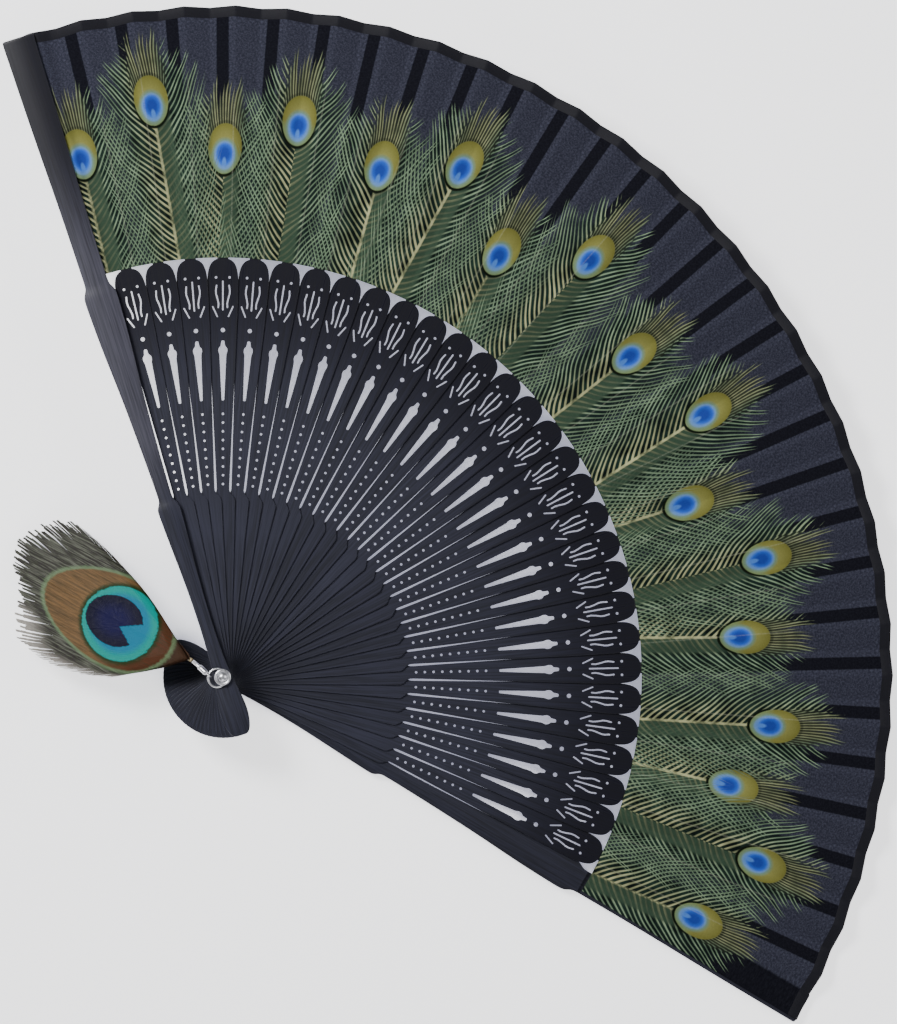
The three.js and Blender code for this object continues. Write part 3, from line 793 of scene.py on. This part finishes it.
def strip_mesh(lines, k, section):
    """Points and faces of a closed strip over gore k, the (direction, radius) of each point, and its number
    of columns. The section is a loop of (radius, lift)."""
    columns = gore_columns(k)
    n = len(section)
    points, places, faces = [], [], []
    for column in columns:
        mids = column_points(lines, column, [r for r, _ in section])
        for (x, y, z, turn, out), (_, lift) in zip(mids, section):
            points.append((x, y, z + lift))
            places.append((turn, out))
    for i in range(len(columns) - 1):
        for j in range(n):
            m = (j + 1) % n
            faces.append((i * n + j, i * n + m, (i + 1) * n + m, (i + 1) * n + j))
    return points, faces, places, len(columns)


def paint_places(mesh, k, places):
    """Gives each corner its place on the pleat and on the printed feathers."""
    s = sizes()
    own = turn_of(k)
    quarter = s.spread / (RIBS + 1) / 4
    layers = {name: mesh.attributes.new(name, "FLOAT_VECTOR", "CORNER")
              for name in ("pleat", "odd_feather", "even_feather")}
    pleat, odd, even = [], [], []
    for polygon in mesh.polygons:
        corners = [places[v] for v in polygon.vertices]
        centre = sum(c[0] for c in corners) / len(corners)
        # Past the middle of a fall-back panel, the next stick is the nearer one
        past = own - centre > 2 * quarter
        stick = own - 4 * quarter if past else own
        # The rear guard is wider than a slip, so the painted shade over it is wider
        narrower = 0.38 if past and k == RIBS else 1.0
        for turn, out in corners:
            offset = out / MM * math.sin(stick - turn) * narrower
            fold = out / MM * math.sin(own - quarter - turn)
            pleat.append((offset, out / MM, fold))
        a, b = feather_places(centre, corners)
        odd += a
        even += b
    for name, values in (("pleat", pleat), ("odd_feather", odd), ("even_feather", even)):
        layers[name].data.foreach_set("vector", np.array(values, np.float32).ravel())


# Faces that close one end of the tape's hollow section
TAPE_END = [(0, 1, 12), (1, 2, 11, 12), (2, 3, 4, 11), (4, 5, 6, 10), (6, 7, 9, 10), (7, 8, 9), (4, 10, 11)]


def blend_gore(obj):
    """Bakes a gore's placement into its mesh."""
    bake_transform(obj)


class FAN_OT_leaf(bpy.types.Operator):
    """Builds the pleated leaf and the tape over its rim, one gore between each two sticks"""
    bl_idname = "fan.leaf"
    bl_label = "Leaf and binding"

    def execute(self, context):
        s = sizes()
        cloth = material("printed_polyester", printed_cloth)
        tape = material("polyester_tape", binding_tape)
        half = s.cloth_thickness / 2
        cloth_end = s.rim_radius - RIM_GAP * MM
        tall = cloth_end - s.leaf_radius
        rows = [s.leaf_radius + tall * i / LEAF_ROWS for i in range(LEAF_ROWS + 1)]
        section = [(r, -half) for r in rows] + [(r, half) for r in reversed(rows)]
        w, t = s.tape_width, s.tape_thickness / 2
        slot = half + 0.02 * MM
        rim, inner = s.rim_radius, s.rim_radius - w
        tape_section = [
            (inner, -t * 0.8), (inner + 0.1 * MM, -t), (rim - 0.35 * MM, -t), (rim - 0.1 * MM, -t * 0.7),
            (rim, 0), (rim - 0.1 * MM, t * 0.7), (rim - 0.35 * MM, t), (inner + 0.1 * MM, t),
            (inner, t * 0.8), (inner, slot), (rim - 0.7 * MM, slot), (rim - 0.7 * MM, -slot),
            (inner, -slot)]
        lines = fold_lines()
        for k in range(RIBS + 1):
            for name, profile, look in ((f"leaf_gore_{k:02d}", section, cloth),
                                        (f"binding_gore_{k:02d}", tape_section, tape)):
                points, faces, places, columns = strip_mesh(lines, k, profile)
                n = len(profile)
                end = (columns - 1) * n
                if look is cloth:
                    m = len(rows)
                    for i in range(m - 1):
                        faces.append((i, n - 1 - i, n - 2 - i, i + 1))
                        faces.append((end + i + 1, end + n - 2 - i, end + n - 1 - i, end + i))
                else:
                    for cap in TAPE_END:
                        faces.append(cap[::-1])
                        faces.append(tuple(end + v for v in cap))
                mesh = mesh_from(name, points, faces)
                paint_places(mesh, k, places)
                obj = piece(name, mesh, look, 50)
                blend_gore(obj)
            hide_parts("leaf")
            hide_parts("leaf_binding")
        return {"FINISHED"}


class FAN_OT_rivet(bpy.types.Operator):
    """Builds the rivet and its two washers"""
    bl_idname = "fan.rivet"
    bl_label = "Rivet and washers"

    def execute(self, context):
        look = material("nickel_plated_brass", plated_brass)
        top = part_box("rivet_pin")[1].z
        head = top - 0.9 * MM
        dome = [(1.35 * math.cos(a), head / MM + 0.9 * math.sin(a))
                for a in np.linspace(0, math.pi / 2, 9)[:-1]]
        pin = [(0, 0), (1.6, 0), (1.82, 0.08), (1.9, 0.3), (1.82, 0.52), (1.6, 0.6), (0.7, 0.6),
               (0.7, head / MM), (1.2, head / MM), *dome, (0, top / MM)]
        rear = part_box("rear_washer")[0].z / MM
        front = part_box("front_washer")[0].z / MM
        flat = [(0.9, rear), (2.3, rear), (2.4, rear + 0.1), (2.4, rear + 0.2), (2.3, rear + 0.3),
                (0.9, rear + 0.3)]
        rim = [(2.0 + 0.4 * math.cos(a), front + 0.3 + 0.3 * math.sin(a)) for a in
               np.radians([-60, -30, 0, 30, 60, 90, 120, 150, 180])]
        cup = [(0.9, front), (1.9, front), *rim, (1.4, front + 0.22), (0.9, front + 0.22)]
        for node, profile, cap in (
                ("rivet_pin", pin, True), ("rear_washer", flat, False), ("front_washer", cup, False)):
            mesh = cleaned(node, *turned(profile, 48, cap))
            mesh.transform(Matrix.Scale(MM, 4))
            obj = piece(f"bright_{node}", mesh, look, 40)
            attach(obj, "front_guard")
            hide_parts(node)
        return {"FINISHED"}


def ring_mesh(name, radius, wire, sides=48):
    profile = [(radius + wire * math.cos(a), wire * math.sin(a))
               for a in np.linspace(0, 2 * math.pi, 13)[:-1]]
    return cleaned(name, *turned(profile, sides))


def polar(radius, heading):
    return Vector((radius * math.cos(math.radians(heading)), radius * math.sin(math.radians(heading)), 0))


# The charm's slope from the jump ring down to the floor, and where its parts point, in degrees
CHARM_PITCH = 17.8
CRIMP_HEADING = 190
FEATHER_HEADING = 203
# The vane's outline as shares of its length and width, in millimetres, with its tip at point VANE_TIP
VANE_LENGTH = 62
VANE_WIDTH = 36
VANE_TIP = 12
VANE = [
    (0.02, 0.02), (0.11, 0.17), (0.18, 0.265), (0.32, 0.44), (0.45, 0.52), (0.59, 0.555), (0.74, 0.55),
    (0.8, 0.5), (0.83, 0.42), (0.87, 0.31), (0.9, 0.2), (0.96, 0.07), (1.005, -0.02), (1.02, -0.18),
    (0.99, -0.31), (0.93, -0.42), (0.84, -0.53), (0.74, -0.5), (0.63, -0.46), (0.46, -0.37), (0.27, -0.205),
    (0.1, -0.085), (0.02, -0.03)]


class FAN_OT_charm(bpy.types.Operator):
    """Builds the jump ring, the crimp and the feather"""
    bl_idname = "fan.charm"
    bl_label = "Feather charm"

    def execute(self, context):
        look = material("nickel_plated_brass", plated_brass)
        level = middle("jump_ring").z / MM
        centre = polar(1.55, 239) + Vector((0, 0, level))
        ring = ring_mesh("jump_ring", 2.65, 0.3)
        ring.transform(Matrix.Translation(centre))
        eye_place = centre + polar(2.65, 213)
        crimp_frame = (Matrix.Translation(eye_place) @ Matrix.Rotation(math.radians(CRIMP_HEADING), 4, "Z")
                       @ Matrix.Rotation(math.radians(CHARM_PITCH), 4, "Y"))
        eye = ring_mesh("eye", 0.78, 0.2, 24)
        eye.transform(Matrix.Rotation(math.pi / 2, 4, "X"))
        tube = [(0, 0.58), (0.5, 0.58), (0.72, 0.7), (0.8, 0.95), (0.8, 3.6), (0.72, 3.75), (0.52, 3.82),
                (0.5, 6.3), (0.42, 6.38), (0, 6.38)]
        body = cleaned("tube", *turned(tube, 28, True))
        body.transform(Matrix.Rotation(math.pi / 2, 4, "Y"))
        crimp = joined("crimp", [eye, body])
        crimp.transform(crimp_frame)
        reach = crimp_frame @ Vector((6.68, 0, 0))
        feather_frame = (Matrix.Translation(reach) @ Matrix.Rotation(math.radians(FEATHER_HEADING), 4, "Z")
                         @ Matrix.Rotation(math.radians(CHARM_PITCH), 4, "Y"))
        shaft = [(0, 0)] + [(0.55 - 0.5 * t ** 0.8, 56 * t) for t in np.linspace(0, 1, 15)] + [(0, 56)]
        quill = cleaned("quill", *turned(shaft, 14, True))
        quill.transform(Matrix.Rotation(math.pi / 2, 4, "Y"))
        for vertex in quill.vertices:
            vertex.co.z += 0.2 * min(vertex.co.x / 14, 1)
        quill.transform(feather_frame)
        vane = self.barbs()
        vane.transform(feather_frame)
        for node, mesh, finish, slot in (
                ("jump_ring", ring, look, "silver_metal"), ("feather_crimp", crimp, look, "silver_metal"),
                ("feather_quill", quill, material("feather_keratin", quill_horn), "quill_horn"),
                ("feather_vane", vane, material("iridescent_barbs", feather_barbs), "feather_barbs")):
            mesh.transform(Matrix.Scale(MM, 4))
            obj = piece(f"charm_{node}", mesh, finish, 45)
            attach(obj, "charm")
            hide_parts(node)
        return {"FINISHED"}

    def barbs(self):
        """The vane as curved barbs from the shaft to the outline. Neighbours overlap at the root and
        part at their ragged tips."""
        chance = random.Random(7)
        outline = [Vector((a * VANE_LENGTH, b * VANE_WIDTH)) for a, b in VANE]
        sides = [outline[:VANE_TIP + 1], outline[VANE_TIP:][::-1]]
        points, faces, places = [], [], []
        count = sizes().barb_count
        steps = 10
        for side, edge in zip((1, -1), sides):
            lengths = [0]
            for a, b in zip(edge, edge[1:]):
                lengths.append(lengths[-1] + (b - a).length)

            def along_barb(share, u):
                goal = min(max(share, 0), 1) * lengths[-1]
                j = max(m for m in range(len(lengths) - 1) if lengths[m] <= goal)
                end = edge[j].lerp(edge[j + 1], (goal - lengths[j]) / (lengths[j + 1] - lengths[j]))
                start = Vector((max(share, 0) ** 3 * 46 + 0.5, 0))
                part = min(max(share, 0), 1)
                bow = Vector((-0.03, side * 0.24)) * (end - start).length * part * (1 - part ** 4)
                bend = start.lerp(end, 0.5) + bow
                return start * (1 - u) ** 2 + bend * 2 * u * (1 - u) + end * u * u

            for i in range(count):
                share = (i + 0.5) / count
                long = chance.uniform(0.92, 1.03)
                lean = chance.gauss(0, 0.7) / count
                lift = 0.77 + chance.uniform(-0.015, 0.015)
                first = len(points)
                for m in range(steps):
                    u = m / (steps - 1) * long
                    open_by = min(max(u - 0.7, 0) / 0.3, 1)
                    half = (0.78 - 0.27 * open_by * open_by * (3 - 2 * open_by)) / count
                    centre = share + lean * u ** 3
                    left, right = along_barb(centre - half, u), along_barb(centre + half, u)
                    p = along_barb(centre, u)
                    z = lift - 0.2 * u * u
                    # A lens-shaped section
                    for q, h in ((left, -0.01), (p, 0.06), (right, 0.01), (p, -0.06)):
                        points.append((q.x, q.y, z + h))
                        places.append((q.x, q.y, u))
                for m in range(steps - 1):
                    for n in range(4):
                        a, b = first + 4 * m + n, first + 4 * m + (n + 1) % 4
                        faces.append((a, a + 4, b + 4, b) if side > 0 else (b, b + 4, a + 4, a))
                tip = first + 4 * (steps - 1)
                ends = [(first, first + 1, first + 2, first + 3), (tip + 3, tip + 2, tip + 1, tip)]
                faces += ends if side > 0 else [end[::-1] for end in ends]
        mesh = mesh_from("vane", points, faces)
        layer = mesh.attributes.new("feather_place", "FLOAT_VECTOR", "POINT")
        layer.data.foreach_set("vector", np.array(places, np.float32).ravel())
        return mesh


def opal_table(put):
    """Opal acrylic light table, sanded matt and lit from below: an even white without hard shadows, with its
    glow painted bluer and dimmer as shade where the fan lies close above it."""
    # Painted shade: ambient occlusion dims the glow and turns it bluer under and beside the fan
    open_sky = put("AmbientOcclusion", None, 0.06, samples=8).outputs["AO"]
    fan_shade = put(SMOOTH, open_sky, 0.5, 0.1)
    glow = put(MIX, fan_shade, colours().floor, linear("#B9BBD6"))
    strength = put("MapRange", fan_shade, 0, 1, 1.7, 0.7)
    tooth = put("TexNoise", put("TexCoord").outputs["Object"], 900, 2)
    bump = put("Bump", {"Strength": 0.05, "Distance": 0.00005, "Height": tooth.outputs[0]})
    return put("BsdfPrincipled", {
        "Base Color": colours().floor, "Roughness": 0.9, "Normal": bump,
        "Emission Color": glow, "Emission Strength": strength})


class FAN_OT_stage(bpy.types.Operator):
    """Builds the floor, the soft lights and the camera"""
    bl_idname = "fan.stage"
    bl_label = "Stage"

    def execute(self, context):
        corners = [(-6, -6, 0), (6, -6, 0), (6, 6, 0), (-6, 6, 0)]
        floor = mesh_from("floor", corners, [(0, 1, 2, 3)])
        piece("floor", floor, material("opal_acrylic", opal_table))
        turn = Matrix.Rotation(math.radians(VIEW_TURN), 4, "Z")
        # Place in the view, size in metres and power in watts
        lights = ((-0.42, 0.42, 0.75, 0.3, 8.6), (1.5, 0.3, 1.2, 1.0, 11), (0.1, -1.6, 1.2, 1.0, 9))
        for number, (x, y, z, size, power) in enumerate(lights):
            data = bpy.data.lights.new(f"softbox_{number}", "AREA")
            data.size = size
            data.energy = power
            lamp = bpy.data.objects.new(data.name, data)
            place = turn @ Vector((x, y, z))
            lamp.location = place
            lamp.rotation_euler = (place - Vector((0, 0.1, 0))).to_track_quat("Z", "Y").to_euler()
            context.scene.collection.objects.link(lamp)
        world = bpy.data.worlds.new("studio")
        context.scene.world = world
        world.use_nodes = True
        world.node_tree.nodes["Background"].inputs[0].default_value = [*linear("#EEF1F8"), 1]
        world.node_tree.nodes["Background"].inputs[1].default_value = 0.12
        # Straight above, turned so that the fan lies as it was photographed, at 0.287 mm to a pixel
        pixel = 0.287 * MM
        view = turn @ Vector((225.5 * pixel, 165 * pixel, 0))
        lens = bpy.data.cameras.new("camera")
        away = 3.0
        lens.sensor_fit = "VERTICAL"
        lens.sensor_height = 24
        lens.lens = 24 * away / (1024 * pixel)
        lens.clip_end = 20
        camera = bpy.data.objects.new("camera", lens)
        camera.location = view + Vector((0, 0, away + 0.02))
        camera.rotation_euler = (0, 0, math.radians(VIEW_TURN))
        context.scene.collection.objects.link(camera)
        context.scene.camera = camera
        return {"FINISHED"}


OPERATORS = (FAN_OT_ribs, FAN_OT_guards, FAN_OT_leaf, FAN_OT_rivet, FAN_OT_charm, FAN_OT_stage)


class FAN_PT_panel(bpy.types.Panel):
    """Lists the fan's pieces, sizes and colours"""
    bl_label = "Dance fan"
    bl_idname = "FAN_PT_panel"
    bl_space_type = "VIEW_3D"
    bl_region_type = "UI"
    bl_category = "Fan"

    def draw(self, context):
        for operator in OPERATORS:
            self.layout.operator(operator.bl_idname)
        for group in (context.scene.fan_sizes, context.scene.fan_colours):
            for name in group.bl_rna.properties.keys():
                if name not in ("rna_type", "name"):
                    self.layout.prop(group, name)


CLASSES = (FanSizes, FanColours, *OPERATORS, FAN_PT_panel)


def register():
    for entry in CLASSES:
        bpy.utils.register_class(entry)
    bpy.types.Scene.fan_sizes = bpy.props.PointerProperty(type=FanSizes)
    bpy.types.Scene.fan_colours = bpy.props.PointerProperty(type=FanColours)


def unregister():
    del bpy.types.Scene.fan_colours
    del bpy.types.Scene.fan_sizes
    for entry in reversed(CLASSES):
        bpy.utils.unregister_class(entry)


def main():
    register()
    bpy.ops.fan.ribs()
    bpy.ops.fan.guards()
    bpy.ops.fan.leaf()
    bpy.ops.fan.rivet()
    bpy.ops.fan.charm()
    bpy.ops.fan.stage()


if __name__ == "__main__":
    main()
